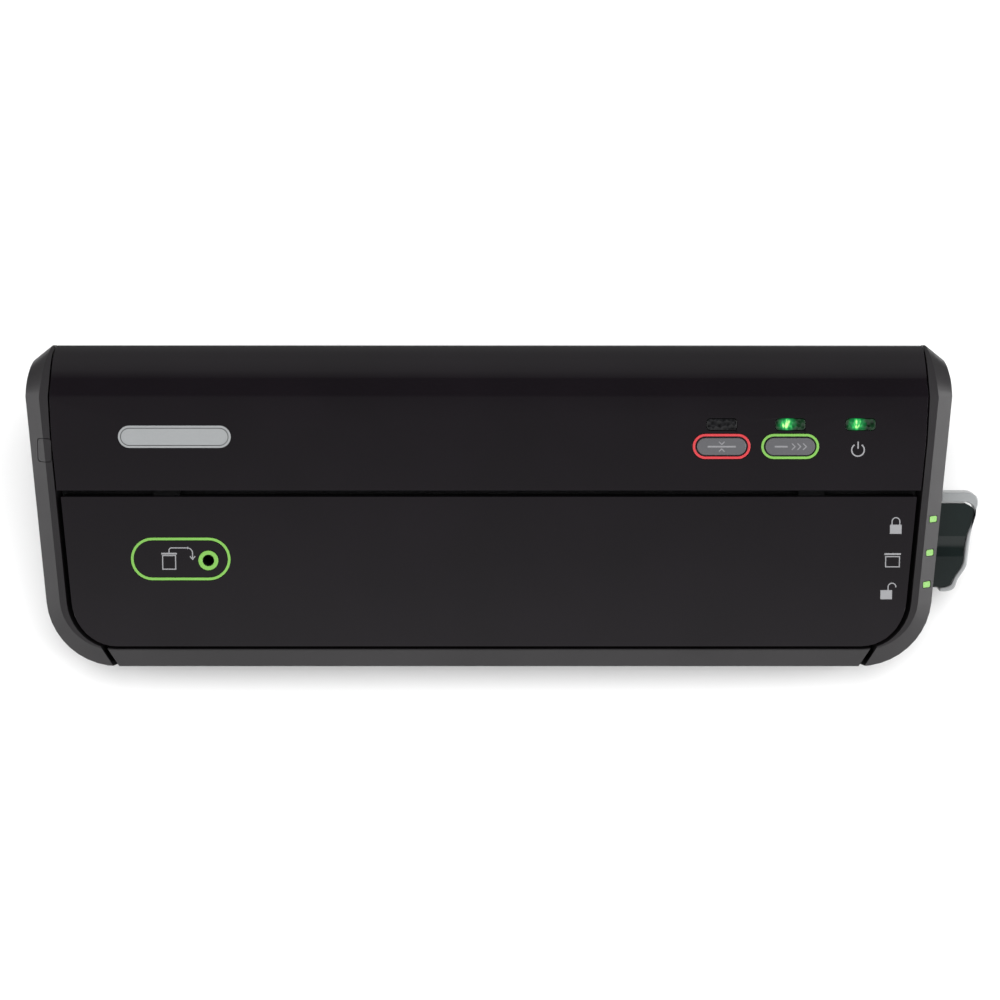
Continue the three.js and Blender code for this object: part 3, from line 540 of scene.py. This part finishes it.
def printed_marks():
    ink, key = LIBRARY["print_ink"], LIBRARY["key_ink"]
    for name, mark, x, node in (
        ("print_operate", padlock(0), 188.4, "mark_operate"),
        ("print_store", rest_mark(), 187.2, "mark_store"),
        ("print_open", padlock(2.6), 184.6, "mark_open"),
    ):
        mark.put(name, (x, middle(node)[1] - LEVER_MARK_DOWN, 0), "lid", ink, "silver")
    x, u, _ = middle("power_light")
    power_mark().put("print_power", (x + POWER_SHIFT[0], u + POWER_SHIFT[1], 0), "case", ink, "silver")
    for name, mark, node in (
        ("print_seal", seal_mark(), "seal_button"), ("print_vacuum", vacuum_mark(), "vac_seal_button"),
    ):
        place = (middle(node)[0], middle("seal_ring")[1], KEY_PROUD)
        mark.put(name, place, BODY_OF[node], key, "grey_button")
    x, u, _ = middle("port_plate")
    jar_mark().put("print_port", (x + PORT_SHIFT[0], u + PORT_SHIFT[1], 0), "lid", ink, "silver")
    x, u, _ = middle("blank_badge")
    line = pill_points(BADGE_WIDTH - 2 * BADGE_MARGIN, BADGE_HEIGHT - 2 * BADGE_MARGIN)
    engraving = Print().stroke(line, BADGE_STROKE, closed=True)
    engraving.put("badge_line", (x, u, BADGE_PROUD), "case", LIBRARY["satin_grey"], "satin_grey")


# ---- Stage --------------------------------------------------------------------------------------
FLOOR_HALF = 6
CARD_HALF_WIDTH, CARD_HALF_HEIGHT = 0.5, 0.08
CARD_PLACE = (0, 0.125, 0.075)
CARD_GLOW = (0.10, 0.43)  # at CARD_GLOW_SPAN of the card's own upward coordinate
CARD_GLOW_SPAN = (-0.35, 0.25)


def add_plane(name, half, material):
    """A square of the studio, flat on the floor until it is turned."""
    mesh = bmesh.new()
    bmesh.ops.create_grid(mesh, x_segments=1, y_segments=1, size=half)
    return make_piece(name, mesh, material)


def add_floor():
    paper = Shader("floor_paper", (0.9, 0.9, 0.9), 0.9).set("Specular IOR Level", 0.0)
    add_plane("floor", FLOOR_HALF, paper.material)


def add_area(name, place, aim, size, power, glossy=True):
    data = bpy.data.lights.new(name, "AREA")
    data.shape = "RECTANGLE"
    data.size, data.size_y = size
    data.energy = power
    lamp = bpy.data.objects.new(name, data)
    lamp.location = place
    lamp.rotation_euler = (Vector(aim) - Vector(place)).to_track_quat("-Z", "Y").to_euler()
    lamp.visible_glossy = glossy
    bpy.context.scene.collection.objects.link(lamp)


# Brightness of the studio by the angle from overhead, in degrees: minus is in front of the object.
SKY = [
    (-90, 0.85), (-45, 0.85), (-37, 0.62), (-34, 0.40), (-31, 0.26), (-24, 0.11),
    (14, 0.11), (36, 0.40), (90, 0.42),
]


def add_world():
    world = bpy.data.worlds.new("studio")
    world.use_nodes = True
    nodes, links = world.node_tree.nodes, world.node_tree.links
    direction = nodes.new("ShaderNodeTexCoord")
    split = nodes.new("ShaderNodeSeparateXYZ")
    angle = nodes.new("ShaderNodeMath")
    angle.operation = "ARCTAN2"
    spread = nodes.new("ShaderNodeMapRange")
    spread.inputs["From Min"].default_value = -math.pi / 2
    spread.inputs["From Max"].default_value = math.pi / 2
    ramp = nodes.new("ShaderNodeValToRGB")
    links.new(direction.outputs["Generated"], split.inputs["Vector"])
    links.new(split.outputs["Y"], angle.inputs[0])
    links.new(split.outputs["Z"], angle.inputs[1])
    links.new(angle.outputs["Value"], spread.inputs["Value"])
    links.new(spread.outputs["Result"], ramp.inputs["Fac"])
    links.new(ramp.outputs["Color"], nodes["Background"].inputs["Color"])
    stops = ramp.color_ramp.elements
    while len(stops) < len(SKY):
        stops.new(1.0)
    for stop, (degrees, value) in zip(stops, SKY):
        stop.position = (degrees + 90) / 180
        stop.color = (value, value, value, 1)
    bpy.context.scene.world = world


def add_back_card():
    """A dim card close behind the object, seen only in its polished back edge."""
    card = add_plane("back_card", CARD_HALF_WIDTH, card_paint())
    card.scale = (1, CARD_HALF_HEIGHT / CARD_HALF_WIDTH, 1)
    card.rotation_euler = (math.pi / 2, 0, 0)
    card.location = CARD_PLACE
    card.visible_camera = card.visible_diffuse = card.visible_shadow = False


def card_paint():
    """Glows more towards the card's top."""
    paint = Shader("back_card", (0, 0, 0), 1.0)
    split = paint.node("ShaderNodeSeparateXYZ")
    paint.link(paint.place(), split.inputs["Vector"])
    height = paint.node("ShaderNodeMapRange")
    for end, place, glow in zip(("Min", "Max"), CARD_GLOW_SPAN, CARD_GLOW):
        height.inputs["From " + end].default_value = place
        height.inputs["To " + end].default_value = glow
    paint.link(split.outputs["Y"], height.inputs["Value"])
    paint.link(height.outputs["Result"], paint.shader.inputs["Emission Strength"])
    paint.set("Emission Color", (1, 1, 1, 1)).set("Specular IOR Level", 0.0)
    return paint.material


def add_lights():
    add_world()
    add_back_card()
    add_area("overhead", (0, 0.1, 2.2), (0, 0, 0), (2.6, 2.0), 58, glossy=False)
    for name, side, power in (("right_panel", 1, 17), ("left_panel", -1, 8.5)):
        add_area(name, (1.5 * side, -0.25, 0.65), (0, 0, 0.05), (1.0, 1.0), power)
    bpy.context.scene.view_settings.view_transform = "Standard"


add_camera()
finish_cad()
printed_marks()
add_floor()
add_lights()
